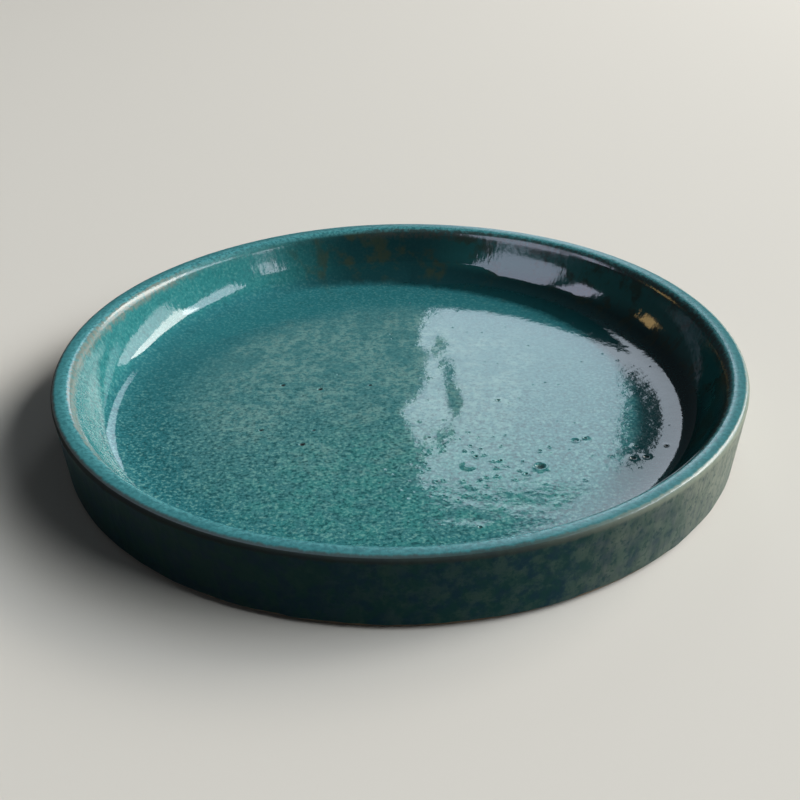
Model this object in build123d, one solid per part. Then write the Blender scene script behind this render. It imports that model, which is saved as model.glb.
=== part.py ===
from build123d import *
import math
import os

# A round stoneware plant saucer: a low dish with a thick upright wall, glazed inside and out,
# standing on a bare clay foot ring. Millimetres, +Z up.
# The origin is the centre of the plane that the foot ring rests on.

# Outside of the glazed saucer
rim_radius = 100.0
saucer_height = 22.2
outer_wall_lean = 1.9
glaze_line_height = 1.6

# Inside of the glazed dish
rim_width = 6.6
floor_height = 5.7
inner_wall_lean = 4.1
cove_radius = 11.5

# Rounded edges of the glazed rim, and the share of the rim's width that each may take
outer_edge_round = 1.6
inner_edge_round = 5.0
outer_edge_share = 0.28
inner_edge_share = 0.78
cove_depth_share = 0.72

# Coats of glaze, and the rounded bead where the outside coat stops above the foot
inner_coat = 0.7
outer_coat = 0.5
rim_coat = 0.45
bead_round = 0.4

# Bare clay: its own tighter cove under the pooled glaze, and the turned foot
clay_cove_radius = 10.5
foot_chamfer = 1.0
foot_ring_width = 10.5
recess_depth = 0.9

# Burst bubbles and pinholes in the inside glaze
large_blister_width = 2.8
small_blister_width = 1.9
pinhole_width = 1.0
pit_depth_share = 0.6

# Where they lie on the flat floor, as shares of its radius
large_blister_shares = [(0.46, -0.49)]
small_blister_shares = [(0.60, -0.34), (0.78, -0.45), (0.82, -0.45)]
pinhole_shares = [
    (-0.44, 0.09),
    (-0.30, 0.05),
    (-0.49, -0.23),
    (-0.34, -0.33),
    (-0.11, 0.07),
    (-0.30, -0.24),
    (0.33, -0.45),
    (0.41, -0.54),
    (0.36, -0.05),
    (0.25, -0.43),
    (0.24, -0.82),
    (0.80, -0.38),
]

# Overrun of cutting and splitting shapes past the surfaces that they cross
overrun = 2.0

rim_inner_radius = rim_radius - rim_width
dish_depth = saucer_height - floor_height
clay_floor_height = floor_height - inner_coat
clay_rim_height = saucer_height - rim_coat

# No rounding is larger than the wall or rim that carries it
outer_edge = min(outer_edge_round, rim_width * outer_edge_share)
inner_edge = min(inner_edge_round, rim_width * inner_edge_share)
glazed_cove = min(cove_radius, dish_depth * cove_depth_share)
clay_cove = min(clay_cove_radius, dish_depth * cove_depth_share)


def outer_wall_radius(height):
    """Radius of the glazed outside wall, which leans in a little towards the foot."""
    return rim_radius - outer_wall_lean * (saucer_height - height) / saucer_height


def inner_wall_radius(height):
    """Radius of the glazed inside wall, which leans in a little towards the floor."""
    return rim_inner_radius - inner_wall_lean * (saucer_height - height) / dish_depth


def flat_floor_radius():
    """Radius of the glazed floor that stays flat, inside the cove."""
    wall_angle = math.atan2(dish_depth, inner_wall_lean)
    return inner_wall_radius(floor_height) - glazed_cove * math.tan(wall_angle / 2)


def section(points, radii):
    """A closed half section, radius across and height up, with each corner rounded as listed."""
    outline = FilletPolyline(*points, radius=radii, close=True)
    return Plane.XZ * make_face(outline)


def clay_section():
    """Half section of the fired clay, from the dish over the rim and down to the foot ring."""
    foot_radius = outer_wall_radius(foot_chamfer) - outer_coat
    ring_inner_radius = foot_radius - foot_chamfer - foot_ring_width
    points = [
        (0, clay_floor_height),
        (inner_wall_radius(clay_floor_height) + inner_coat, clay_floor_height),
        (inner_wall_radius(clay_rim_height) + inner_coat, clay_rim_height),
        (outer_wall_radius(clay_rim_height) - outer_coat, clay_rim_height),
        (foot_radius, foot_chamfer),
        (foot_radius - foot_chamfer, 0),
        (ring_inner_radius, 0),
        (ring_inner_radius - recess_depth, recess_depth),
        (0, recess_depth),
    ]
    radii = [0, clay_cove, inner_edge - rim_coat, outer_edge - rim_coat, 0, 0, 0, 0, 0]
    return section(points, radii)


def glazed_section():
    """Half section of everything above the glaze line, out to the surface of the glaze."""
    points = [
        (0, floor_height),
        (inner_wall_radius(floor_height), floor_height),
        (rim_inner_radius, saucer_height),
        (rim_radius, saucer_height),
        (outer_wall_radius(glaze_line_height), glaze_line_height),
        (0, glaze_line_height),
    ]
    radii = [0, glazed_cove, inner_edge, outer_edge, min(bead_round, outer_coat), 0]
    return section(points, radii)


def outside_section():
    """Half section of the space outside a slant that leaves the wall's middle across its outer edge."""
    wall_middle = rim_radius - rim_width / 2
    drop = saucer_height - rim_width / 2
    reach = rim_width / 2 + overrun
    points = [
        (wall_middle, 0),
        (wall_middle, drop),
        (wall_middle + reach, drop + reach),
        (wall_middle + reach, 0),
    ]
    return section(points, [0] * len(points))


def pit(x_share, y_share, width):
    """A shallow round hollow in the floor's glaze, cut by part of a ball."""
    depth = inner_coat * pit_depth_share * min(width / small_blister_width, 1)
    ball_radius = (width * width / 4 + depth * depth) / (2 * depth)
    floor_radius = flat_floor_radius()
    centre = (x_share * floor_radius, y_share * floor_radius, floor_height - depth + ball_radius)
    return Pos(*centre) * Sphere(ball_radius)


def pits():
    """Every burst bubble and pinhole, as balls to cut from the inside glaze."""
    groups = [
        (large_blister_width, large_blister_shares),
        (small_blister_width, small_blister_shares),
        (pinhole_width, pinhole_shares),
    ]
    return [pit(x, y, width) for width, places in groups for x, y in places]


def stoneware_body():
    """The clay dish itself, bare on its underside and foot ring."""
    return revolve(clay_section(), Axis.Z)


def inner_glaze():
    """The inside coat: floor, pooled cove, wall and the top of the rim."""
    coat = glazed_section() - clay_section() - outside_section()
    solid = revolve(coat, Axis.Z)
    return solid - pits()


def outer_glaze():
    """The outside coat, from the rim's outer edge down to a bead just above the foot."""
    coat = (glazed_section() - clay_section()) & outside_section()
    return revolve(coat, Axis.Z)


nodes = {
    "stoneware_body": stoneware_body(),
    "inner_glaze": inner_glaze(),
    "outer_glaze": outer_glaze(),
}

os.makedirs("parts", exist_ok=True)
for name, shape in nodes.items():
    export_step(shape, f"parts/{name}.step")
    print(f"{name}: {len(shape.solids())} solid, {shape.volume:.1f} mm3")
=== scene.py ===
"""Plant saucer in glazed stoneware: the finished look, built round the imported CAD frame."""

import math
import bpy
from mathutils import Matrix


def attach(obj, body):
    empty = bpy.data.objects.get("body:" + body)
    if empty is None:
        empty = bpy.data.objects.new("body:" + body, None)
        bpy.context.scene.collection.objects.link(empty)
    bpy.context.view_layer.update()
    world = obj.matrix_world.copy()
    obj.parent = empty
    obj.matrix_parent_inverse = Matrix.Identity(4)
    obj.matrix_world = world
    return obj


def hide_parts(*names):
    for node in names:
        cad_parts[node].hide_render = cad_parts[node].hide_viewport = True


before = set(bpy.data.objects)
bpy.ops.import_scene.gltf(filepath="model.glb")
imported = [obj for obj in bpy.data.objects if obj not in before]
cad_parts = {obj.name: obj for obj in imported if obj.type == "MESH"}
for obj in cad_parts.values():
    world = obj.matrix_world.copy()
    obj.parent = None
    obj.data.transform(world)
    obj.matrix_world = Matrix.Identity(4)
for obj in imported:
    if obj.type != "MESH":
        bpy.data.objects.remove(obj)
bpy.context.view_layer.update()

from types import SimpleNamespace

import bpy
import numpy as np
from bpy.props import FloatProperty, FloatVectorProperty, IntProperty, PointerProperty
from bpy.types import Operator, Panel, PropertyGroup
from mathutils import Matrix, Vector
from mathutils.geometry import delaunay_2d_cdt

bl_info = {
    "name": "Glazed Plant Saucer",
    "version": (1, 0, 0),
    "blender": (4, 5, 0),
    "location": "View3D > Sidebar > Saucer",
    "description": "Builds a thrown stoneware plant saucer with its two coats of glaze",
    "category": "Add Mesh",
}

MM = 0.001

# The dish's section turns in arcs. Over the rim, the crest, crown, shoulder, ramp and throat end at these slopes
# in degrees, and then comes the wall. Each arc of the cove is a share of its radius and the slope where it ends.
RIM_TILTS = (4, 12, 50, 55)
WALL_TILT = 68
COVE_ARCS = ((3.0, 53), (1.9, 48), (0.72, 24), (1.05, 13), (3.0, 1.7), (24.0, 0))

# Fineness of the meshes: steps along a section, along the small arcs and over the floor, steps of the glaze's
# corners in each radian and of the rim's outside edge, and the height up the cove where the floor's net ends
GLAZE_STEP = 0.75 * MM
ARC_STEP = 0.4 * MM
NET_STEP = 1.25 * MM
GLAZE_FINENESS = 12
EDGE_STEPS = 20
NET_TOP = 0.55
SEAM_GAP = 0.001 * MM
SHARP_CORNER = math.radians(35)

# A noise keeps within about a quarter either way of its middle, so this brings it to its full reach
NOISE_TO_FULL = 4.0


def linear(code):
    """An sRGB hex colour as linear red, green and blue."""
    parts = [int(code[i:i + 2], 16) / 255 for i in (1, 3, 5)]
    return tuple(c / 12.92 if c <= 0.04045 else ((c + 0.055) / 1.055) ** 2.4 for c in parts)


def length(default, name, description):
    """A size property in metres."""
    return FloatProperty(
        name=name, description=description, default=default, min=0.0, precision=5,
        subtype="DISTANCE", unit="LENGTH",
    )


def tint(code, name, description):
    """A colour property given as an sRGB hex value."""
    return FloatVectorProperty(
        name=name, description=description, default=linear(code), min=0.0, max=1.0,
        size=3, subtype="COLOR",
    )


class SaucerSizes(PropertyGroup):
    rim_radius: length(100 * MM, "Rim radius", "Radius of the outside edge of the rim")
    height: length(22.2 * MM, "Height", "From the resting plane to the top of the rim")
    outer_lean: length(1.9 * MM, "Outer lean", "How far the outside wall leans in at its foot")
    rim_width: length(6.6 * MM, "Rim width", "Width of the rim, outside to inside")
    floor_height: length(5.7 * MM, "Floor height", "Top of the glazed floor")
    inner_lean: length(4.1 * MM, "Inner lean", "How far the inside wall leans in at the floor")
    cove: length(9.5 * MM, "Cove", "Radius between the floor and the inside wall, at its tightest")
    outer_edge: length(1.5 * MM, "Outer edge", "Rounding of the rim's outside edge")
    crest: length(21 * MM, "Crest", "Slow turn of the rim's nearly flat top")
    crown: length(6.4 * MM, "Crown", "Rounding of the rim's top, just inside its crest")
    shoulder: length(3.1 * MM, "Shoulder", "Rounding from the rim's top down towards the inside wall")
    ramp: length(9 * MM, "Ramp", "Slow turn of the slope below the shoulder")
    throat: length(4 * MM, "Throat", "Rounding where the ramp meets the inside wall")
    glaze_line: length(1.6 * MM, "Glaze line", "Where the outside coat stops above the foot")
    inner_coat: length(0.7 * MM, "Inner coat", "Thickness of the inside glaze")
    outer_coat: length(0.5 * MM, "Outer coat", "Thickness of the outside glaze")
    rim_coat: length(0.45 * MM, "Rim coat", "Thickness of the glaze over the rim")
    clay_cove: length(10.5 * MM, "Clay cove", "Radius of the cove in the clay")
    clay_outer_edge: length(1.15 * MM, "Clay outer edge", "Rounding of the clay's outside edge")
    clay_inner_edge: length(4.55 * MM, "Clay inner edge", "Rounding of the clay's inside edge")
    foot_chamfer: length(1.0 * MM, "Foot chamfer", "Bevel round the foot")
    foot_ring: length(10.5 * MM, "Foot ring", "Width of the ring that the saucer stands on")
    recess: length(0.9 * MM, "Recess", "Height of the underside inside the foot ring")
    wobble: length(0.22 * MM, "Hand wobble", "How far the rim strays from a true circle")
    segments: IntProperty(
        name="Segments", description="Facets round the rim", default=720, min=90, max=1440,
    )


class SaucerFinish(PropertyGroup):
    floor_teal: tint("#3c7374", "Floor, teal", "Main colour of the floor")
    floor_grey: tint("#668e88", "Floor, milky", "Milky grey-green clumps in the middle of the floor")
    floor_green: tint("#39827b", "Floor, green", "Greener teal in patches towards the front")
    floor_blue: tint("#286a6e", "Floor, pool", "Deep blue-teal where the glaze has pooled towards the cove")
    # Painted shade, not a colour of the glaze: nearly black teal over the far side of the cove and the wall above
    # it
    floor_painted_shade: tint("#0a2f31", "Floor, painted shade", "Nearly black teal painted as shade on the far side of the cove and the wall above it")
    floor_dark: tint("#184749", "Grain, dark", "Dark grains in the glaze")
    floor_light: tint("#7cab9f", "Grain, light", "Light grains in the glaze")
    wall_teal: tint("#2f7976", "Wall", "Glaze that ran thinner down the inside wall")
    # Painted reflection: olive-brown of a warm table on the far side of the inside wall
    wall_olive_reflection: tint("#343b28", "Olive reflection", "Painted olive-brown reflection of a warm table on the far side of the inside wall")
    rim_teal: tint("#4e9091", "Rim, light", "Top of the rim")
    # Real dark speckle on the rim, and also painted shade over the outer part of the rim's top
    rim_speckle_and_shade: tint("#2d6a6d", "Rim, speckle and shade", "Dark speckle on the rim, and painted shade on the outer part of its top")
    rim_break: tint("#3c3f39", "Rim break", "Clay and iron showing through on the rim's outside edge")
    # A speckled band on the rim's inside shoulder: pale at the far left, turning to the dark rim colour elsewhere
    lip_band: tint("#7b7a6c", "Lip band", "Speckled band on the rim's inside shoulder, pale at the far left")
    # Painted shade: the outside teal and its blue clouds are darkened well below the glaze's own colour, as the
    # shade on the front and left
    outer_teal_and_shade: tint("#093d3b", "Outside, teal and shade", "Main colour of the outside wall, darkened as painted shade, and its dark specks")
    outer_blue: tint("#073642", "Outside, blue", "Blue clouds on the outside wall")
    # Olive clouds: the glaze's mottle, plus painted warm light where they gather towards the right
    outer_olive: tint("#435c50", "Outside, olive", "Olive clouds on the outside wall")
    # Painted light and sheen: grey-tan on the right side of the outside wall and rim edge, which face the lamps
    outer_lit_tan: tint("#878c7a", "Outside, lit tan", "Painted light and sheen in grey-tan on the right side of the outside wall")
    # Partly painted shade: near black for the shade in the depth of the shallow pits, and for burnt clay at their
    # bottoms
    pit_dark: tint("#070b09", "Pits", "Hollows of the burst bubbles and pinholes")
    clay: tint("#a58d72", "Clay", "Bare fired clay")
    clay_dark: tint("#7f6a55", "Clay, toasted", "Patches where the clay has toasted darker")
    clay_iron: tint("#3d2c20", "Clay, iron", "Iron specks in the clay")
    ground: tint("#d6cfc3", "Ground", "The pale studio floor")
    room: tint("#4a4f54", "Room", "The dim room round the saucer")


def add(tree, kind, inputs=(), out=0, **settings):
    """Adds a node with its settings and its inputs, in order or by name, and returns an output where it has one."""
    new = tree.nodes.new(kind if "Node" in kind else "ShaderNode" + kind)
    for key, value in settings.items():
        setattr(new, key, value)
    for key, value in inputs.items() if isinstance(inputs, dict) else enumerate(inputs):
        socket = new.inputs[key]
        if isinstance(value, bpy.types.NodeSocket):
            tree.links.new(value, socket)
        else:
            socket.default_value = (*value, 1) if socket.type == "RGBA" else value
    new.location = (200 * (len(tree.nodes) % 12), -220 * (len(tree.nodes) // 12))
    return new.outputs[out] if len(new.outputs) else new


def product(tree, *parts):
    """Multiplies its parts, each a link, a number, or a value with the ends of the smooth ramp that it climbs."""
    whole = None
    for part in parts:
        if isinstance(part, tuple):
            value, low, high, *ends = part
            ramp = (value, low, high, *(ends or (0.0, 1.0)))
            part = add(tree, "MapRange", ramp, interpolation_type="SMOOTHSTEP")
        whole = part if whole is None else add(tree, "Math", (whole, part), operation="MULTIPLY")
    return whole


def polar(tree, place):
    """Each point's distance from the axis, its direction from the axis and its height."""
    flat = add(tree, "VectorMath", (place, (1, 1, 0)), operation="MULTIPLY")
    radius = add(tree, "VectorMath", (flat,), "Value", operation="LENGTH")
    outward = add(tree, "VectorMath", (flat,), operation="NORMALIZE")
    return radius, outward, add(tree, "SeparateXYZ", (place,), "Z")


def placed(name, data):
    """A new object in the scene, at the origin."""
    new = bpy.data.objects.new(name, data)
    bpy.context.scene.collection.objects.link(new)
    return new


def outline(corners, spacing, fineness):
    """Points along straight runs with rounded corners, each corner being radius, height, rounding."""
    path = [Vector(corners[0][:2])]
    for before, corner, after in zip(corners, corners[1:], corners[2:]):
        here = Vector(corner[:2])
        back = (Vector(before[:2]) - here).normalized()
        ahead = (Vector(after[:2]) - here).normalized()
        half = back.angle(ahead) / 2
        reach = corner[2] / math.tan(half)
        if not reach:
            path.append(here)
            continue
        centre = here + (back + ahead).normalized() * corner[2] / math.sin(half)
        start = here + back * reach - centre
        sweep = start.angle_signed(here + ahead * reach - centre)
        steps = max(3, math.ceil(abs(sweep) * fineness))
        for i in range(steps + 1):
            turn = Matrix.Rotation(-sweep * i / steps, 2)
            path.append(centre + turn @ start)
    path.append(Vector(corners[-1][:2]))
    points = [path[0]]
    for here in path[1:]:
        gap = (here - points[-1]).length
        if gap < 1e-8:
            continue
        count = max(1, math.ceil(gap / spacing))
        start = points[-1]
        points += [start.lerp(here, (i + 1) / count) for i in range(count)]
    return np.array([tuple(p) for p in points])


def wall_radius(sizes, height):
    """Radius of the glazed outside wall at a height."""
    return sizes.rim_radius - sizes.outer_lean * (sizes.height - height) / sizes.height


def inside_radius(sizes, height):
    """Radius of the glazed inside wall at a height."""
    depth = sizes.height - sizes.floor_height
    return sizes.rim_radius - sizes.rim_width - sizes.inner_lean * (sizes.height - height) / depth


def arc_points(start, tilt, arcs):
    """Points inward and down from a start, along arcs that each turn the slope to a new tilt."""
    points = [start]
    for rounding, last in arcs:
        radius, height, _ = points[-1]
        steps = max(4, math.ceil(abs(last - tilt) * rounding / ARC_STEP))
        for i in range(1, steps + 1):
            turn = tilt + (last - tilt) * i / steps
            points.append((radius - rounding * abs(math.sin(turn) - math.sin(tilt)),
                           height - rounding * abs(math.cos(turn) - math.cos(tilt)), 0))
        tilt = last
    return points


def inside_corners(sizes):
    """The glazed surface from the middle of the floor up the cove and wall and over the rim's crest."""
    wall = math.radians(WALL_TILT)
    lean = math.atan2(sizes.outer_lean, sizes.height)
    edge = sizes.outer_edge
    crest = wall_radius(sizes, sizes.height - edge) - edge / math.cos(lean)
    tilts = [math.radians(tilt) for tilt in RIM_TILTS] + [wall]
    turns = list(zip((sizes.crest, sizes.crown, sizes.shoulder, sizes.ramp, sizes.throat), tilts))
    rim = arc_points((crest, sizes.height, 0), 0, turns)
    turns = [(sizes.cove * share, math.radians(tilt)) for share, tilt in COVE_ARCS]
    fall = arc_points(rim[-1], wall, turns)[-1][1] - sizes.floor_height
    foot = (rim[-1][0] - fall / math.tan(wall), rim[-1][1] - fall, 0)
    cove = arc_points(foot, wall, turns)
    outward = []
    for i in range(1, EDGE_STEPS + 1):
        turn = (math.pi / 2 - lean) * i / EDGE_STEPS
        outward.append((crest + edge * math.sin(turn), sizes.height - edge * (1 - math.cos(turn)), 0))
    return [(0, sizes.floor_height, 0)] + cove[::-1] + rim[::-1] + outward


def split_section(corners, spacing, fineness):
    """A section's points from the middle of the dish to its edge under the rim, and from there on."""
    points = outline(corners, spacing, fineness)
    split = int(np.argmax(points.sum(1)))
    return points[:split + 1], points[split:]


def glaze_profiles(sizes):
    """The glaze's surface from the middle of the floor to the rim's edge, and from there down."""
    bead = wall_radius(sizes, sizes.glaze_line)
    corners = inside_corners(sizes) + [
        (bead, sizes.glaze_line, sizes.outer_coat * 0.7),
        (bead - sizes.outer_coat, sizes.glaze_line, 0),
    ]
    return split_section(corners, GLAZE_STEP, GLAZE_FINENESS)


def clay_profiles(sizes, spacing, fineness):
    """The clay's section from the dish to its edge under the rim, and from there to the middle below."""
    floor = sizes.floor_height - sizes.inner_coat
    top = sizes.height - sizes.rim_coat
    foot = wall_radius(sizes, sizes.foot_chamfer) - sizes.outer_coat
    ring = foot - sizes.foot_chamfer - sizes.foot_ring
    corners = [
        (0, floor, 0),
        (inside_radius(sizes, floor) + sizes.inner_coat, floor, sizes.clay_cove),
        (inside_radius(sizes, top) + sizes.inner_coat, top, sizes.clay_inner_edge),
        (wall_radius(sizes, top) - sizes.outer_coat, top, sizes.clay_outer_edge),
        (foot, sizes.foot_chamfer, 0),
        (foot - sizes.foot_chamfer, 0, 0),
        (ring, 0, 0),
        (ring - sizes.recess, sizes.recess, 0),
        (0, sizes.recess, 0),
    ]
    return split_section(corners, spacing, fineness)


def new_mesh(name, points, faces=()):
    """A mesh of faces, or of loose points for a node tree to read."""
    mesh = bpy.data.meshes.new(name)
    mesh.from_pydata([tuple(p) for p in points], [], faces)
    return mesh


FORM_INPUTS = [
    ("Wobble", "Float"), ("Rim radius", "Float"), ("Height", "Float"), ("Material", "Material"),
]
WOBBLE_INPUTS = FORM_INPUTS[:3]
TURNED_INPUTS = FORM_INPUTS + [("Segments", "Int"), ("Rings", "Int"), ("Profile points", "Int")]


def new_tree(name, inputs):
    """An empty geometry tree with named inputs, and the links that they give."""
    tree = bpy.data.node_groups.new(name, "GeometryNodeTree")
    for label, kind in (("Geometry", "Geometry"), *inputs):
        tree.interface.new_socket(label, in_out="INPUT", socket_type="NodeSocket" + kind)
    tree.interface.new_socket("Geometry", in_out="OUTPUT", socket_type="NodeSocketGeometry")
    return tree, add(tree, "NodeGroupInput").node.outputs


def close_tree(tree, given, geometry):
    """Ends a tree: the hand wobble, smooth faces with the true corners left sharp, and the material."""
    wobble = bpy.data.node_groups.get("hand wobble") or hand_wobble_tree()
    shared = {label: given[label] for label, _ in WOBBLE_INPUTS}
    swayed = add(tree, "GeometryNodeGroup", {"Geometry": geometry, **shared}, node_tree=wobble)
    soft = add(tree, "GeometryNodeSetShadeSmooth", {"Geometry": swayed, "Shade Smooth": True})
    bend = add(tree, "GeometryNodeInputMeshEdgeAngle", out="Unsigned Angle")
    corner = add(tree, "FunctionNodeCompare", (bend, SHARP_CORNER), operation="GREATER_THAN")
    crisp = add(tree, "GeometryNodeSetShadeSmooth",
                {"Geometry": soft, "Selection": corner, "Shade Smooth": False}, domain="EDGE")
    real = add(tree, "GeometryNodeRealizeInstances", (crisp,))
    dressed = add(tree, "GeometryNodeSetMaterial", {"Geometry": real, "Material": given["Material"]})
    add(tree, "NodeGroupOutput", (dressed,))
    return tree


def run_tree(name, mesh, tree, sizes, material, values):
    """Runs a mesh through a tree and keeps the result as a plain object at the origin."""
    values = {"Wobble": sizes.wobble, "Rim radius": sizes.rim_radius, "Height": sizes.height,
              "Material": material, **values}
    piece = placed(name, mesh)
    modifier = piece.modifiers.new(tree.name, "NODES")
    modifier.node_group = tree
    for item in tree.interface.items_tree:
        if item.in_out == "INPUT" and item.name in values:
            modifier[item.identifier] = values[item.name]
    graph = bpy.context.evaluated_depsgraph_get()
    result = bpy.data.meshes.new_from_object(piece.evaluated_get(graph), depsgraph=graph)
    piece.modifiers.remove(modifier)
    piece.data = result
    result.name = name
    return piece


def wandering(tree, vector, scale, detail):
    """Three noises round zero over one coordinate."""
    noise = add(tree, "TexNoise", {"Vector": vector, "Scale": scale, "Detail": detail}, "Color")
    centred = add(tree, "VectorMath", (noise, (0.5, 0.5, 0.5)), operation="SUBTRACT")
    return add(tree, "SeparateXYZ", (centred,)).node.outputs


def swayed_by(tree, outward, sideways, lift):
    """A move by one distance away from the axis and by another straight up."""
    across = add(tree, "VectorMath", {0: outward, "Scale": sideways}, operation="SCALE")
    return add(tree, "VectorMath", (across, add(tree, "CombineXYZ", {"Z": lift})), operation="ADD")


def hand_wobble_tree():
    """A wheel-thrown form is never a true circle: the same slow wander moves every piece of it."""
    tree, given = new_tree("hand wobble", WOBBLE_INPUTS)
    radius, outward, height = polar(tree, add(tree, "GeometryNodeInputPosition"))
    wander = wandering(tree, outward, 0.75, 1.0)
    share = add(tree, "Math", (radius, given["Rim radius"]), operation="DIVIDE")
    rise = add(tree, "Math", (height, given["Height"]), operation="DIVIDE")
    reach = product(tree, share, given["Wobble"], NOISE_TO_FULL)
    shift = swayed_by(tree, outward, product(tree, reach, wander["X"]), product(tree, reach, wander["Y"], rise))
    moved = add(tree, "GeometryNodeSetPosition", {"Geometry": given["Geometry"], "Offset": shift})
    add(tree, "NodeGroupOutput", (moved,))
    return tree


def turned(tree, given):
    """Nodes that turn a profile of loose points round the axis into a closed skin."""
    around = add(tree, "Math", (given["Segments"], 1.0), operation="ADD")
    grid = add(tree, "GeometryNodeMeshGrid", {"Vertices X": around, "Vertices Y": given["Rings"]})
    index = add(tree, "GeometryNodeInputIndex")
    row = add(tree, "Math", (index, given["Rings"]), operation="MODULO")
    step = add(tree, "Math", (row, given["Profile points"]), operation="MODULO")
    column = add(tree, "Math", (index, given["Rings"]), operation="DIVIDE")
    segment = add(tree, "Math", (column,), operation="FLOOR")
    share = add(tree, "Math", (segment, given["Segments"]), operation="DIVIDE")
    here = add(tree, "GeometryNodeInputPosition")
    point = add(tree, "GeometryNodeSampleIndex",
                {"Geometry": given["Geometry"], "Value": here, "Index": step}, data_type="FLOAT_VECTOR")
    spun = add(tree, "VectorRotate", {"Vector": point, "Angle": product(tree, share, math.tau)},
               rotation_type="Z_AXIS")
    skin = add(tree, "GeometryNodeSetPosition", {"Geometry": grid, "Position": spun})
    return add(tree, "GeometryNodeMergeByDistance", {"Geometry": skin, "Distance": SEAM_GAP})


def stoneware_tree():
    """The clay dish, turned from its section, with the spiral of the turning tool underneath."""
    tree, given = new_tree("turned stoneware", TURNED_INPUTS + [
        ("Ring pitch", "Float"), ("Ring depth", "Float"), ("Recess", "Float"), ("Ring radius", "Float")])
    skin = turned(tree, given)
    place = add(tree, "GeometryNodeInputPosition")
    radius, outward, height = polar(tree, place)
    part = add(tree, "SeparateXYZ", (outward,)).node.outputs
    angle = add(tree, "Math", (part["Y"], part["X"]), operation="ARCTAN2")
    pitch = add(tree, "Math", (radius, given["Ring pitch"]), operation="DIVIDE")
    winds = add(tree, "Math", (pitch, math.tau, angle), operation="MULTIPLY_ADD")
    uneven = add(tree, "TexNoise", {"Vector": place, "Scale": 1 / (9 * MM), "Detail": 2.0})
    cut = product(tree, add(tree, "Math", (winds,), operation="SINE"), uneven, given["Ring depth"])
    inside = add(tree, "FunctionNodeCompare", (radius, given["Ring radius"]), operation="LESS_THAN")
    low = add(tree, "FunctionNodeCompare", (height, given["Recess"]), operation="LESS_EQUAL")
    below = add(tree, "FunctionNodeBooleanMath", (inside, low), operation="AND")
    down = add(tree, "CombineXYZ", {"Z": cut})
    marked = add(tree, "GeometryNodeSetPosition", {"Geometry": skin, "Selection": below, "Offset": down})
    return close_tree(tree, given, marked)


def outer_glaze_tree():
    """The outside coat, turned from its section, with slow runs and a wavering bottom edge."""
    tree, given = new_tree("run glaze", TURNED_INPUTS + [
        ("Run width", "Float"), ("Run depth", "Float"), ("Line waver", "Float"), ("Glaze line", "Float")])
    skin = turned(tree, given)
    radius, outward, height = polar(tree, add(tree, "GeometryNodeInputPosition"))
    streak = swayed_by(tree, outward, given["Rim radius"], product(tree, height, 0.25))
    per_run = add(tree, "Math", (1.0, given["Run width"]), operation="DIVIDE")
    wander = wandering(tree, streak, per_run, 2.0)
    shoulder = product(tree, given["Height"], 0.8)
    bulge = product(tree, (height, shoulder, given["Height"], 1.0, 0.0), given["Run depth"], wander["X"])
    near = product(tree, given["Glaze line"], 3.5)
    drop = product(tree, (height, given["Glaze line"], near, 1.0, 0.0), given["Line waver"], wander["Y"])
    shift = swayed_by(tree, outward, bulge, drop)
    run = add(tree, "GeometryNodeSetPosition", {"Geometry": skin, "Offset": shift})
    return close_tree(tree, given, run)


def inner_glaze_tree():
    """The inside coat: its slow swell, and a crater or a pinhole at every point of the pits object."""
    tree, given = new_tree("burst bubbles and swell", FORM_INPUTS + [
        ("Pits", "Object"), ("Long swell", "Float"), ("Long depth", "Float"),
        ("Short swell", "Float"), ("Short depth", "Float")])
    place = add(tree, "GeometryNodeInputPosition")
    facing = add(tree, "GeometryNodeInputNormal")
    pits = add(tree, "GeometryNodeObjectInfo", {"Object": given["Pits"]}, "Geometry")
    nearest = add(tree, "GeometryNodeSampleNearest", {"Geometry": pits, "Sample Position": place})
    middle = add(tree, "GeometryNodeSampleIndex", {"Geometry": pits, "Value": place, "Index": nearest},
                 data_type="FLOAT_VECTOR")
    measured = []
    for label in PIT_MEASURES:
        stored = add(tree, "GeometryNodeInputNamedAttribute", {"Name": label})
        measured.append(add(tree, "GeometryNodeSampleIndex", {"Geometry": pits, "Value": stored, "Index": nearest}))
    half, depth, lip, dark = measured
    away = add(tree, "VectorMath", (place, middle), "Value", operation="DISTANCE")
    reach = add(tree, "Math", (away, half), operation="DIVIDE")
    heights = [
        product(tree, (reach, 0.25, 1.0, -1.0, 0.0), depth),
        product(tree, (reach, 0.8, 1.1), (reach, 1.1, 1.7, 1.0, 0.0), lip),
    ]
    for label in ("Long", "Short"):
        scale = add(tree, "Math", (1.0, given[label + " swell"]), operation="DIVIDE")
        wave = add(tree, "TexNoise", {"Vector": place, "Scale": scale, "Detail": 1.0})
        even = add(tree, "Math", (wave, 0.5), operation="SUBTRACT")
        heights.append(product(tree, even, given[label + " depth"]))
    level = heights[0]
    for more in heights[1:]:
        level = add(tree, "Math", (level, more), operation="ADD")
    tilt = add(tree, "SeparateXYZ", (facing,), "Z")
    above = add(tree, "MapRange", (tilt, -0.3, 0.0, 0.0, 1.0))
    shift = add(tree, "VectorMath", {0: facing, "Scale": product(tree, level, above)}, operation="SCALE")
    shade = product(tree, (reach, 0.35, 0.9, 1.0, 0.0), dark)
    marked = add(tree, "GeometryNodeStoreNamedAttribute",
                 {"Geometry": given["Geometry"], "Name": "pit_shade", "Value": shade})
    moved = add(tree, "GeometryNodeSetPosition", {"Geometry": marked, "Offset": shift})
    return close_tree(tree, given, moved)
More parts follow.
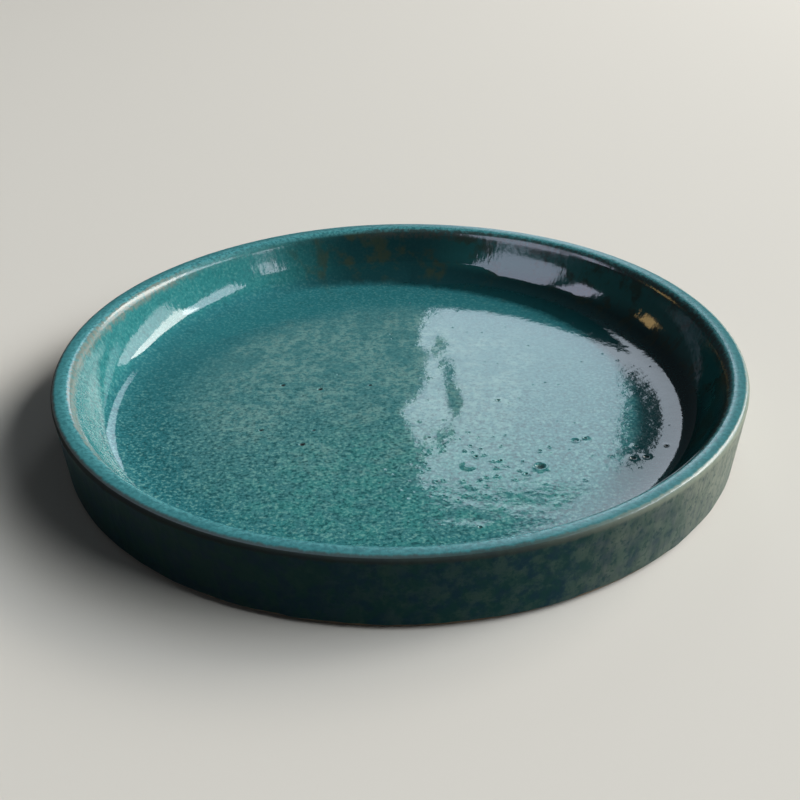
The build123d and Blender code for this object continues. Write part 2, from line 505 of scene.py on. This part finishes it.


# Burst bubbles and pinholes: x and y in mm, then width, depth and lip height in mm, then how dark the hollow is
# painted, partly as the shade of its depth
BURST_BUBBLES = [
    (37.7, -40.2, 3.2, 0.5, 0.06, 0.75),
    (49.1, -27.4, 2.2, 0.16, 0.03, 0.3),
    (52.0, -26.4, 1.2, 0.2, 0.05, 0.5),
    (63.5, -37.1, 1.9, 0.3, 0.04, 0.6),
    (67.2, -36.7, 1.8, 0.3, 0.04, 0.6),
    (65.3, -31.1, 1.4, 0.16, 0.06, 0.2),
    (73.8, -31.6, 1.2, 0.25, 0.05, 0.8),
    (-36.0, 7.1, 1.9, 0.35, 0.0, 1.0),
    (-24.4, 4.2, 2.0, 0.35, 0.0, 1.0),
    (-40.2, -19.1, 1.7, 0.3, 0.0, 0.9),
    (-27.8, -27.0, 2.2, 0.4, 0.0, 1.0),
    (-9.1, 6.1, 1.5, 0.25, 0.0, 0.9),
    (-24.9, -19.7, 1.4, 0.2, 0.0, 0.6),
    (27.3, -37.0, 1.0, 0.25, 0.03, 0.7),
    (33.5, -43.8, 1.1, 0.25, 0.03, 0.7),
    (29.4, -4.4, 1.2, 0.25, 0.03, 0.7),
    (20.6, -34.8, 1.1, 0.25, 0.03, 0.7),
    (19.5, -67.2, 1.2, 0.25, 0.03, 0.7),
    (18.2, -39.6, 5.6, -0.1, 0.0, 0.0),
    (-67.1, -27.9, 1.2, -0.12, 0.0, 0.0),
    (-5.0, -41.0, 2.4, -0.1, 0.0, 0.0),
    (-2.6, -43.4, 1.5, -0.08, 0.0, 0.0),
    (-0.6, -51.0, 2.0, -0.09, 0.0, 0.0),
    (1.2, -55.0, 2.4, -0.1, 0.0, 0.0),
    (3.0, -51.8, 1.0, -0.07, 0.0, 0.0),
]

# Each stored measure of a pit: its column above, and what turns that into metres or a share
PIT_MEASURES = {"pit_radius": (2, 0.5), "pit_depth": (3, MM), "pit_lip": (4, MM), "pit_shade": (5, 1.0)}

# Points of the glaze's section that cover the floor, where the pits lie
FLOOR_POINTS = 200

# Pinholes scattered over the floor, tries at fine ones near its front, and the seed of their places
PINHOLES = 120
FRONT_PINHOLES = 90
PINHOLE_SEED = 46

# Rings of the net round each pit, as shares of its radius, and the half width up to which it is a small one
LARGE_PIT_RINGS = (0.22, 0.42, 0.6, 0.76, 0.9, 1.02, 1.15, 1.35, 1.7)
SMALL_PIT_RINGS = (0.45, 0.8, 1.1, 1.6)
SMALL_PIT = 0.55 * MM

# Slow mounds and dips of the fired glaze, in mm: x, y, half widths along x and y, and height
MOUNDS = [
    (3.0, 46.0, 7.5, 9.0, 0.27),
    (11.5, 34.0, 2.5, 4.0, -0.10),
    (-3.5, -10.0, 6.5, 7.0, 0.40),
    (13.5, -4.0, 3.0, 8.0, -0.20),
    (13.0, 16.0, 2.5, 6.0, -0.09),
    (9.0, -24.0, 3.5, 5.0, -0.11),
    (2.0, -46.0, 5.0, 9.0, 0.14),
    (17.0, -63.5, 6.0, 1.7, -0.05),
    (14.0, -66.0, 10.0, 5.0, 0.05),
    (34.0, -57.0, 9.0, 3.0, -0.04),
]


def inner_glaze_mesh(sizes, pits):
    """A closed shell: an even net of triangles over floor and cove, then rings over the wall and rim."""
    surface, _ = glaze_profiles(sizes)
    lengths = np.concatenate([[0], np.cumsum(np.hypot(*np.diff(surface, axis=0).T))])
    join = int(np.argmax(surface[:, 1] > sizes.floor_height + sizes.cove * NET_TOP))
    reach = lengths[join]
    count = sizes.segments
    spin = np.arange(count) * math.tau / count
    ring = np.stack([np.cos(spin), np.sin(spin)], 1)

    rows = np.arange(-int(reach / NET_STEP) - 2, int(reach / NET_STEP) + 3)
    grid_x, grid_y = np.meshgrid(rows * NET_STEP, rows * NET_STEP * math.sqrt(0.75))
    grid_x = grid_x + (rows % 2)[:, None] * NET_STEP / 2
    net = np.stack([grid_x.ravel(), grid_y.ravel()], 1)
    net = net[np.hypot(*net.T) < reach - NET_STEP * 0.6]
    extra = []
    for x, y, width, *_ in pits:
        radius, half = math.hypot(x, y), width / 2
        along = float(np.interp(radius, surface[:join, 0], lengths[:join]))
        centre = np.array([x, y]) * along / max(radius, 1e-9)
        net = net[np.hypot(*(net - centre).T) > half * LARGE_PIT_RINGS[-1] + NET_STEP * 0.35]
        extra.append(centre[None])
        large = half > SMALL_PIT
        for share in LARGE_PIT_RINGS if large else SMALL_PIT_RINGS:
            sides = 20 if large and share > 0.3 else 10
            turn = np.arange(sides) * math.tau / sides + share * 5
            extra.append(centre + half * share * np.stack([np.cos(turn), np.sin(turn)], 1))
    points = np.concatenate([ring * reach, net] + extra)
    edges = [(i, (i + 1) % count) for i in range(count)]
    flat, _, faces, origins, _, _ = delaunay_2d_cdt([Vector(p) for p in points], edges, [], 1, 1e-7)
    flat = np.array([tuple(p) for p in flat])
    along = np.hypot(*flat.T)
    radius = np.interp(along, lengths, surface[:, 0])
    height = np.interp(along, lengths, surface[:, 1])
    scale = radius / np.maximum(along, 1e-9)
    net_x, net_y = flat[:, 0] * scale, flat[:, 1] * scale
    for x, y, half_x, half_y, rise in MOUNDS:
        away = np.hypot((net_x / MM - x) / half_x, (net_y / MM - y) / half_y)
        height = height + rise * MM * np.exp(-away * away / 2)
    layers = [np.stack([net_x, net_y, height], 1)]
    faces = [tuple(f) for f in faces]
    found = {source: i for i, sources in enumerate(origins) for source in sources}
    before = [found[i] for i in range(count)]

    hidden, _ = clay_profiles(sizes, 30 * MM, 3)
    start = len(flat)
    for across, up in np.concatenate([surface[join + 1:], hidden[:0:-1]]):
        layers.append(np.column_stack([ring * across, np.full(count, up)]))
        now = list(range(start, start + count))
        faces += [(before[i], now[i], now[(i + 1) % count], before[(i + 1) % count]) for i in range(count)]
        before, start = now, start + count
    layers.append(np.array([[0, 0, hidden[0, 1]]]))
    faces += [(before[i], start, before[(i + 1) % count]) for i in range(count)]
    mesh = new_mesh("inner glaze shell", np.concatenate(layers), faces)
    mesh.validate()
    return mesh


def pit_points(sizes, pits):
    """A hidden object with one point for each pit, which carries the pit's measures."""
    surface, _ = glaze_profiles(sizes)
    floor = surface[:FLOOR_POINTS].T
    points = [(x, y, float(np.interp(math.hypot(x, y), *floor))) for x, y, *_ in pits]
    mesh = new_mesh("pit points", points)
    for label, (column, scale) in PIT_MEASURES.items():
        layer = mesh.attributes.new(label, "FLOAT", "POINT")
        layer.data.foreach_set("value", [pit[column] * scale for pit in pits])
    return placed("pit points", mesh)


def all_pits(sizes):
    """The burst bubbles seen in the floor, in metres, with fine pinholes scattered between them."""
    pits = [(x * MM, y * MM, width * MM, *rest) for x, y, width, *rest in BURST_BUBBLES]
    chance = np.random.default_rng(PINHOLE_SEED)
    reach = inside_radius(sizes, sizes.floor_height) - sizes.cove * 0.5
    while len(pits) < len(BURST_BUBBLES) + PINHOLES:
        radius = reach * math.sqrt(chance.random())
        turn = chance.random() * math.tau
        x, y = radius * math.cos(turn), radius * math.sin(turn)
        width = chance.uniform(0.55, 1.0) * MM
        if all(math.hypot(x - p[0], y - p[1]) > 1.3 * (width + p[2]) for p in pits):
            pits.append((x, y, width, width / MM * 0.06, 0.012, chance.uniform(0, 0.35)))
    for _ in range(FRONT_PINHOLES):
        x, y = chance.normal(15, 10) * MM, chance.normal(-40, 9) * MM
        width = chance.uniform(0.5, 1.0) * MM
        if all(math.hypot(x - p[0], y - p[1]) > 1.1 * (width + p[2]) for p in pits):
            pits.append((x, y, width, width / MM * 0.12, 0.02, chance.uniform(0.1, 0.6)))
    return pits


# The noises of each finish: the coordinate that they follow, the millimetres between their marks, detail, roughness
RIM_MARKS = {
    "ragged": ("stroke", 2.2, 3.0, 0.6),
    "gaps": ("place", 1.4, 3.0, 0.6),
}
INSIDE_MARKS = RIM_MARKS | {
    "slow": ("place", 15, 4.0, 0.6),
    "patches": ("place", 10, 3.0, 0.6),
    "clumps": ("place", 2.8, 4.0, 0.7),
    "greener": ("place", 5.5, 3.0, 0.6),
    "runs": ("stroke", 3.2, 4.0, 0.6),
    "clots": ("place", 2.5, 3.0, 0.65),
    "grit": ("place", 1.0, 3.0, 0.65),
    # Wander of the painted shade's edge at the far side of the cove
    "pooling": ("place", 6, 3.0, 0.6),
    # Patches of the painted olive-brown reflection on the far side of the inside wall
    "iron": ("place", 8, 4.0, 0.6),
    "speckle": ("place", 1.1, 3.0, 0.65),
    # Wander of the painted shade's edge on the rim's top
    "crown": ("place", 1.3, 3.0, 0.65),
    "ripple": ("stroke", 3.0, 3.0, 0.6),
    "peel": ("place", 3.0, 3.0, 0.6),
}
OUTSIDE_MARKS = RIM_MARKS | {
    "clouds": ("place", 5, 4.0, 0.6),
    # Wander of the edge of the painted light on the right side
    "wear": ("place", 14, 3.0, 0.6),
    "patches": ("place", 4.5, 5.0, 0.65),
    "streaks": ("stroke", 2.6, 3.0, 0.6),
    "specks": ("place", 1.4, 3.0, 0.65),
    "ripple": ("stroke", 3.0, 2.0, 0.6),
    "peel": ("place", 2.5, 3.0, 0.6),
}
CLAY_MARKS = {
    "warmth": ("place", 12, 5.0, 0.6),
    "tooth": ("place", 0.7, 4.0, 0.6),
}


def empty_material(name):
    """A material with no nodes yet, and its tree."""
    material = bpy.data.materials.new(name)
    material.use_nodes = True
    material.node_tree.nodes.clear()
    return material, material.node_tree


def fired_material(name, sizes, marks):
    """A material, its tree, and what its patterns follow: Object coordinates, directions and its noises."""
    material, tree = empty_material(name)
    at = SimpleNamespace(place=add(tree, "TexCoord", out="Object"))
    at.radius, at.outward, at.height = polar(tree, at.place)
    at.across = add(tree, "SeparateXYZ", (at.outward,), "X")
    # Noise on this coordinate is drawn out down the wall and across the rim, as the glaze ran
    radial = add(tree, "VectorMath", {0: at.outward, "Scale": sizes.rim_radius}, operation="SCALE")
    slow = add(tree, "VectorMath", (at.place, (0.1, 0.1, 0.3)), operation="MULTIPLY")
    at.stroke = add(tree, "VectorMath", (radial, slow), operation="ADD")
    for label, (follows, spacing, detail, roughness) in marks.items():
        setattr(at, label, add(tree, "TexNoise", {
            "Vector": getattr(at, follows), "Scale": 1 / (spacing * MM), "Detail": detail, "Roughness": roughness,
        }))
    return material, tree, at


def laid_over(tree, colour, *layers):
    """A colour with layers over it in turn, each a colour and the parts whose product is how much of it shows."""
    for top, *parts in layers:
        colour = add(tree, "Mix", {0: product(tree, *parts), 6: colour, 7: top}, 2, data_type="RGBA")
    return colour


def strayed(tree, value, wander, reach):
    """A value moved either way by a noise, up to about half the reach."""
    lowered = add(tree, "Math", (value, reach / 2), operation="SUBTRACT")
    return add(tree, "Math", (wander, reach, lowered), operation="MULTIPLY_ADD")


def shaded(tree, colour, rough, relief, depth, settings):
    """Ends a material with its shader, whose constants stand on its own sockets, and the relief of its skin."""
    bump = add(tree, "Bump", {"Height": relief, "Distance": depth, "Strength": 1.0})
    inputs = {"Base Color": colour, "Roughness": rough, "Normal": bump, **settings}
    add(tree, "OutputMaterial", (add(tree, "BsdfPrincipled", inputs),))


def rim_layers(tree, at, sizes, finish):
    """Thin glaze over the rim, and how dry it is: olive-grey outside, turning to painted light in tan at the right,
    and a speckled band inside, pale at the far left.
    """
    edge, top = sizes.rim_radius, sizes.height
    out = strayed(tree, at.radius, at.ragged, 1.7 * MM)
    down = strayed(tree, at.height, at.ragged, -1.2 * MM)
    bare = product(tree, (out, edge - 1.6 * MM, edge - 0.8 * MM), (down, top - 2.4 * MM, top - 1.3 * MM, 0.0, 0.75))
    # Painted light: the rim's outside edge turns grey-tan at the right, where it faces the lamps
    lit_side_blend = laid_over(tree, finish.rim_break, (finish.outer_lit_tan, (at.across, 0.2, 0.75)))
    # The inside shoulder's band: pale at the far left, dark towards the back and right, and left out at the upper
    # left
    lip = laid_over(tree, finish.lip_band, (finish.rim_break, (at.across, -0.85, -0.4)))
    aside = add(tree, "Math", (at.across, -0.45), operation="SUBTRACT")
    aside = add(tree, "Math", (aside,), operation="ABSOLUTE")
    band = (lip, (out, edge - 7.2 * MM, edge - 6.3 * MM), (out, edge - 5.2 * MM, edge - 4.5 * MM, 0.8, 0.0),
            (at.gaps, 0.36, 0.56, 0.35, 1.0), (aside, 0.25, 0.42, 0.2, 1.0))
    return [(lit_side_blend, bare), band], product(tree, bare, (at.across, 0.3, -0.1, 0.0, 0.5))


def inner_glaze_material(sizes, finish):
    """Copper-green stoneware glaze, dipped and fired glossy: a glassy skin over fine two-tone grain.

    On the floor, milky grey-green clumps lie in the middle, greener patches towards the front, and blue pools at
    the cove. Nearly black teal is painted shade on the far side of the cove and the wall above it, and olive-brown
    there is a painted reflection. The grain over all of it is finer on the real glaze, and is drawn 1 mm apart,
    as fine as the render shows.
    """
    material, tree, at = fired_material("glossy copper green stoneware glaze", sizes, INSIDE_MARKS)
    rise, top, edge = sizes.floor_height, sizes.height, sizes.rim_radius
    spots = []
    for x, y, reach in ((-10, 5, 40), (5, -75, 30), (0, -8, 16)):
        away = add(tree, "VectorMath", (at.place, (x * MM, y * MM, 0)), "Value", operation="DISTANCE")
        spots.append(strayed(tree, away, at.slow, reach * MM))
    middle, front, pool = spots
    grainy = product(tree, (add(tree, "SeparateXYZ", (at.place,), "Y"), 30 * MM, -40 * MM, 0.4, 1.0))
    side = add(tree, "VectorMath", (at.outward, (0.8, 0.6, 0)), "Value", operation="DOT_PRODUCT")
    far_side = product(tree, (side, 0.0, 0.45))
    # Where the painted shade on the far side begins, further in towards the right
    further = add(tree, "Math", (at.across, 9 * MM, at.radius), operation="MULTIPLY_ADD")
    deep = strayed(tree, further, at.pooling, 4 * MM)
    thin = strayed(tree, at.height, at.runs, 4 * MM)
    raised = strayed(tree, at.height, at.runs, 8 * MM)
    crown = strayed(tree, at.radius, at.crown, 7 * MM)
    crest = laid_over(
        tree, finish.rim_speckle_and_shade,
        (finish.rim_teal, (at.speckle, 0.36, 0.6)),
        # Painted shade: the outer part of the rim's top, where it rolls over towards the outside edge, is darkened
        (finish.rim_speckle_and_shade, (crown, edge - 4.2 * MM, edge - 1.8 * MM, 0.0, 0.6)),
    )
    rim, dry = rim_layers(tree, at, sizes, finish)
    pit = add(tree, "Attribute", out="Fac", attribute_name="pit_shade")
    colour = laid_over(
        tree, finish.floor_teal,
        (finish.floor_grey, (middle, 68 * MM, 38 * MM), (at.patches, 0.4, 0.58, 0.25, 1.0),
         (at.clumps, 0.4, 0.58, 0.1, 1.0)),
        (finish.floor_green, (front, 75 * MM, 35 * MM), (at.greener, 0.42, 0.58, 0.15, 0.7)),
        (finish.floor_blue, (pool, 61 * MM, 74 * MM, 0.0, 0.9)),
        (finish.wall_teal, (thin, rise + 1 * MM, rise + 5 * MM, 0.0, 0.85)),
        (finish.floor_dark, (at.clots, 0.48, 0.34, 0.0, 0.42), grainy),
        (finish.floor_dark, (at.grit, 0.5, 0.34, 0.0, 0.85), grainy),
        (finish.floor_light, (at.grit, 0.52, 0.66, 0.0, 0.55), grainy),
        # Painted shade: nearly black teal over the far side of the cove and the wall above it
        (finish.floor_painted_shade, (deep, 77 * MM, 82 * MM, 0.0, 0.93), far_side),
        # The right of the inside wall keeps its teal over the painted shade
        (finish.wall_teal, (at.across, 0.05, 0.5), (at.across, 0.7, 1.0, 0.9, 0.6),
         (at.radius, 86.5 * MM, 91 * MM)),
        # Painted reflection: olive-brown of a warm table over the far side of the inside wall
        (finish.wall_olive_reflection, (at.iron, 0.48, 0.64, 0.0, 0.7), (raised, rise, rise + 4 * MM), far_side),
        (crest, (at.height, top - 1.8 * MM, top - 0.5 * MM)),
        *rim,
        # Painted shade in the hollows of the pits, with burnt clay at their bottoms
        (finish.pit_dark, pit),
    )

    skin = product(tree, (strayed(tree, at.height, at.runs, 3 * MM), rise + 4 * MM, top - 1 * MM, 0.06, 0.16))
    for more in (dry, product(tree, (at.height, top - 0.4 * MM, top - 0.1 * MM, 0.0, 0.14))):
        skin = add(tree, "Math", (skin, more), operation="ADD")
    rough = add(tree, "Math", (pit, 0.6, skin), operation="MULTIPLY_ADD")
    ripple = product(tree, at.ripple, (at.height, rise + 2 * MM, rise + 9 * MM))
    relief = add(tree, "Math", (ripple, 0.09, product(tree, at.peel, 0.035)), operation="MULTIPLY_ADD")
    shaded(tree, colour, rough, relief, 1 * MM, {"IOR": 1.52})
    return material


def outer_glaze_material(sizes, finish):
    """The same glaze run thin and duller outside: painted shade in dark teal to the left, painted light and sheen
    in grey-tan on the right.
    """
    material, tree, at = fired_material("thin run stoneware glaze", sizes, OUTSIDE_MARKS)
    side = add(tree, "VectorMath", (at.outward, (1.0, -0.1, 0)), "Value", operation="DOT_PRODUCT")
    # How far towards the lit right side, which carries painted light
    lit_side_blend = strayed(tree, side, at.wear, 0.6)
    rim, dry = rim_layers(tree, at, sizes, finish)
    colour = laid_over(
        # Dark teal base and blue clouds, darkened as painted shade
        tree, finish.outer_teal_and_shade,
        (finish.outer_blue, (at.clouds, 0.42, 0.58)),
        # Olive clouds, partly painted warm light as they grow towards the right
        (finish.outer_olive, (at.patches, 0.42, 0.62), (lit_side_blend, -0.3, 0.5, 0.05, 0.75)),
        # Painted light and sheen: grey-tan on the right side
        (finish.outer_lit_tan, (lit_side_blend, 0.45, 0.95, 0.0, 0.95), (at.streaks, 0.36, 0.56, 0.55, 1.0),
         (at.height, 3 * MM, 13 * MM, 0.6, 1.0)),
        (finish.outer_teal_and_shade, (at.specks, 0.48, 0.34, 0.0, 0.7)),
        *rim,
    )
    rough = add(tree, "Math", (dry, 0.4), operation="ADD")
    relief = add(tree, "Math", (at.peel, 0.05, product(tree, at.ripple, 0.07)), operation="MULTIPLY_ADD")
    shaded(tree, colour, rough, relief, 1 * MM, {"IOR": 1.45, "Specular IOR Level": 0.12})
    return material


def clay_material(sizes, finish):
    """Buff stoneware fired bare: dry, a little gritty, with iron specks."""
    material, tree, at = fired_material("bare fired buff stoneware", sizes, CLAY_MARKS)
    grit = add(tree, "TexVoronoi", {"Vector": at.place, "Scale": 1 / (2.4 * MM)}, "Distance")
    colour = laid_over(
        tree, finish.clay_dark,
        (finish.clay, (at.warmth, 0.35, 0.65)),
        (finish.clay_iron, (grit, 0.12, 0.2, 0.7, 0.0)),
    )
    shaded(tree, colour, 0.82, at.tooth, 0.12 * MM, {"IOR": 1.5})
    return material


def ground_material(finish):
    """Matt studio floor: pale to the eye and in gloss, and with little bounce onto the saucer."""
    material, tree = empty_material("matt studio floor")
    path = add(tree, "LightPath").node.outputs
    seen = path["Is Camera Ray"]
    for ray in ("Is Glossy Ray", "Is Transmission Ray"):
        seen = add(tree, "Math", (seen, path[ray]), operation="MAXIMUM")
    dim = [part * FLOOR_BOUNCE for part in finish.ground]
    colour = laid_over(tree, dim, (finish.ground, seen))
    add(tree, "OutputMaterial", (add(tree, "BsdfDiffuse", (colour,)),))
    return material


class SAUCER_OT_stoneware_body(Operator):
    """Turns the fired clay dish with its foot ring"""
    bl_idname = "saucer.stoneware_body"
    bl_label = "Stoneware body"

    def execute(self, context):
        sizes, finish = context.scene.saucer_sizes, context.scene.saucer_finish
        _, outside = clay_profiles(sizes, 0.6 * MM, 6)
        rest = np.flatnonzero(outside[:, 1] < sizes.recess * 1.01)
        coarse_in, coarse_out = clay_profiles(sizes, 6 * MM, 4)
        upper = coarse_out[coarse_out[:, 1] > sizes.recess * 1.05]
        under = outside[rest[0]:] if len(rest) else outside
        points = np.concatenate([coarse_in, upper[1:], under])[::-1]
        mesh = new_mesh("stoneware section", [(r, 0, z) for r, z in points])
        ring = wall_radius(sizes, 0.0) - sizes.foot_chamfer - sizes.foot_ring - 2 * MM
        skin = clay_material(sizes, finish)
        piece = run_tree("stoneware_dish", mesh, stoneware_tree(), sizes, skin, {
            "Segments": sizes.segments // 2, "Rings": len(points), "Profile points": len(points),
            "Ring pitch": 2.6 * MM, "Ring depth": 0.12 * MM, "Ring radius": ring, "Recess": sizes.recess * 1.01,
        })
        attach(piece, "root")
        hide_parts("stoneware_body")
        return {"FINISHED"}


class SAUCER_OT_inner_glaze(Operator):
    """Lays the glossy inside coat over floor, cove, wall and rim, with its burst bubbles"""
    bl_idname = "saucer.inner_glaze"
    bl_label = "Inside glaze"

    def execute(self, context):
        sizes, finish = context.scene.saucer_sizes, context.scene.saucer_finish
        pits = all_pits(sizes)
        holder = pit_points(sizes, pits)
        mesh = inner_glaze_mesh(sizes, pits)
        skin = inner_glaze_material(sizes, finish)
        piece = run_tree("inside_glaze", mesh, inner_glaze_tree(), sizes, skin, {
            "Pits": holder, "Long swell": 24 * MM, "Long depth": 0.1 * MM,
            "Short swell": 5 * MM, "Short depth": 0.03 * MM,
        })
        bpy.data.objects.remove(holder)
        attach(piece, "root")
        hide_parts("inner_glaze")
        return {"FINISHED"}


class SAUCER_OT_outer_glaze(Operator):
    """Lays the outside coat from the rim's edge down to its bead above the foot"""
    bl_idname = "saucer.outer_glaze"
    bl_label = "Outside glaze"

    def execute(self, context):
        sizes, finish = context.scene.saucer_sizes, context.scene.saucer_finish
        _, surface = glaze_profiles(sizes)
        _, clay = clay_profiles(sizes, 4 * MM, 3)
        back = clay[(clay[:, 1] > sizes.glaze_line + 1 * MM) & (clay[:, 0] > sizes.rim_radius * 0.95)]
        points = np.concatenate([surface, back[::-1]])[::-1]
        mesh = new_mesh("outside glaze section", [(r, 0, z) for r, z in points])
        skin = outer_glaze_material(sizes, finish)
        piece = run_tree("outside_glaze", mesh, outer_glaze_tree(), sizes, skin, {
            "Segments": sizes.segments, "Rings": len(points) + 1, "Profile points": len(points),
            "Run width": 9 * MM, "Run depth": 0.18 * MM, "Line waver": 1.4 * MM, "Glaze line": sizes.glaze_line,
        })
        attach(piece, "root")
        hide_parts("outer_glaze")
        return {"FINISHED"}


# Soft boxes: azimuth from +Y towards +X and height above the floor in degrees, spans of both, radiance, colour,
# and whether they light all, gloss alone or the saucer's own colours alone
SOFT_BOXES = [
    ("key window", 61.0, 31.5, 34.0, 13.0, 11.5, (1.0, 0.97, 0.93), "all"),
    ("left wall glow", 36.0, 4.0, 26.0, 14.0, 1.1, (0.85, 1.0, 1.1), "gloss"),
    ("key window, lower part", 60.0, 19.0, 36.0, 12.0, 4.0, (0.93, 0.95, 1.0), "all"),
    ("right window", 91.5, 35.0, 25.0, 10.0, 6.0, (0.9, 0.92, 1.04), "all"),
    ("right window, side pane", 125.0, 27.5, 6.0, 15.0, 6.0, (0.9, 0.92, 1.04), "gloss"),
    ("back window", 8.35, 21.85, 10.5, 27.7, 2.5, (0.88, 1.0, 1.14), "all"),
    ("front left window", -124.0, 37.5, 28.0, 35.0, 4.0, (0.82, 0.9, 1.14), "gloss"),
    ("left window", -93.5, 35.5, 11.0, 17.0, 4.5, (0.84, 0.88, 1.12), "gloss"),
    ("warm lamp", -63.0, 20.0, 7.0, 9.0, 4.0, (1.0, 0.66, 0.26), "gloss"),
    ("wide fill", 95.0, 38.0, 50.0, 30.0, 7.2, (0.9, 0.98, 1.06), "colour"),
]
BOX_DISTANCE = 4.0
ROOM_STRENGTH = 0.7

# Half the studio floor's width, and the share of its brightness that it throws back onto the saucer
FLOOR_REACH = 12.0
FLOOR_BOUNCE = 0.18

# The photograph's view: the lens, then the eye and what it looks at as shares of the dish's outermost radius,
# and how far the camera is rolled, in radians
LENS = 49.5
OUTERMOST = 99.82 * MM
EYE = (0, -2.89360, 1.72288)
AIM = (0.00013, 0, 0.03736)
ROLL = -0.01720


class SAUCER_OT_stage(Operator):
    """Sets the pale floor, the soft boxes, the dim room and the camera"""
    bl_idname = "saucer.stage"
    bl_label = "Studio"

    def execute(self, context):
        finish = context.scene.saucer_finish
        corners = [(x * FLOOR_REACH, y * FLOOR_REACH, 0) for x, y in ((-1, -1), (1, -1), (1, 1), (-1, 1))]
        ground = new_mesh("studio floor", corners, [(0, 1, 2, 3)])
        ground.materials.append(ground_material(finish))
        floor = placed("studio_floor", ground)

        for name, azimuth, rise, width, tall, radiance, colour, lights in SOFT_BOXES:
            lamp = bpy.data.lights.new(name, "AREA")
            lamp.shape = "RECTANGLE"
            lamp.size = 2 * BOX_DISTANCE * math.tan(math.radians(width / 2))
            lamp.size_y = 2 * BOX_DISTANCE * math.tan(math.radians(tall / 2))
            lamp.color = colour
            lamp.energy = radiance * lamp.size * lamp.size_y * math.pi
            box = placed(name, lamp)
            turn, climb = math.radians(azimuth), math.radians(rise)
            way = Vector((math.sin(turn) * math.cos(climb), math.cos(turn) * math.cos(climb), math.sin(climb)))
            box.location = way * BOX_DISTANCE
            box.rotation_euler = way.to_track_quat("Z", "Y").to_euler()
            box.visible_camera = False
            box.visible_diffuse = lights != "gloss"
            box.visible_glossy = lights != "colour"

        world = bpy.data.worlds.new("dim room")
        world.use_nodes = True
        walls = world.node_tree.nodes["Background"].inputs
        walls["Color"].default_value = (*finish.room, 1)
        walls["Strength"].default_value = ROOM_STRENGTH
        context.scene.world = world

        view = bpy.data.cameras.new("camera")
        view.lens = LENS
        view.sensor_width = 36.0
        view.clip_start = 0.01
        view.clip_end = 50.0
        camera = placed("camera", view)
        eye = Vector(EYE) * OUTERMOST
        level = (eye - Vector(AIM) * OUTERMOST).to_track_quat("Z", "Y").to_matrix().to_4x4()
        camera.matrix_world = Matrix.Translation(eye) @ level @ Matrix.Rotation(ROLL, 4, "Z")
        context.scene.camera = camera
        context.scene.view_settings.view_transform = "Standard"
        return {"FINISHED"}


class SAUCER_PT_panel(Panel):
    """Lists the saucer's sizes, colours and pieces"""
    bl_idname = "SAUCER_PT_panel"
    bl_label = "Plant saucer"
    bl_space_type = "VIEW_3D"
    bl_region_type = "UI"
    bl_category = "Saucer"

    def draw(self, context):
        layout = self.layout
        for group in (context.scene.saucer_sizes, context.scene.saucer_finish):
            column = layout.column(align=True)
            for key in group.__annotations__:
                column.prop(group, key)
        for operator in PIECES:
            layout.operator(operator.bl_idname)


PIECES = (SAUCER_OT_stoneware_body, SAUCER_OT_inner_glaze, SAUCER_OT_outer_glaze, SAUCER_OT_stage)
CLASSES = (SaucerSizes, SaucerFinish, *PIECES, SAUCER_PT_panel)


def register():
    """Registers the classes and hangs the settings on the scene."""
    for item in CLASSES:
        bpy.utils.register_class(item)
    bpy.types.Scene.saucer_sizes = PointerProperty(type=SaucerSizes)
    bpy.types.Scene.saucer_finish = PointerProperty(type=SaucerFinish)


def unregister():
    """Takes the settings and the classes away again."""
    del bpy.types.Scene.saucer_sizes
    del bpy.types.Scene.saucer_finish
    for item in reversed(CLASSES):
        bpy.utils.unregister_class(item)


def main():
    """Builds every piece and the studio."""
    register()
    bpy.ops.saucer.stoneware_body()
    bpy.ops.saucer.inner_glaze()
    bpy.ops.saucer.outer_glaze()
    bpy.ops.saucer.stage()


if __name__ == "__main__":
    main()
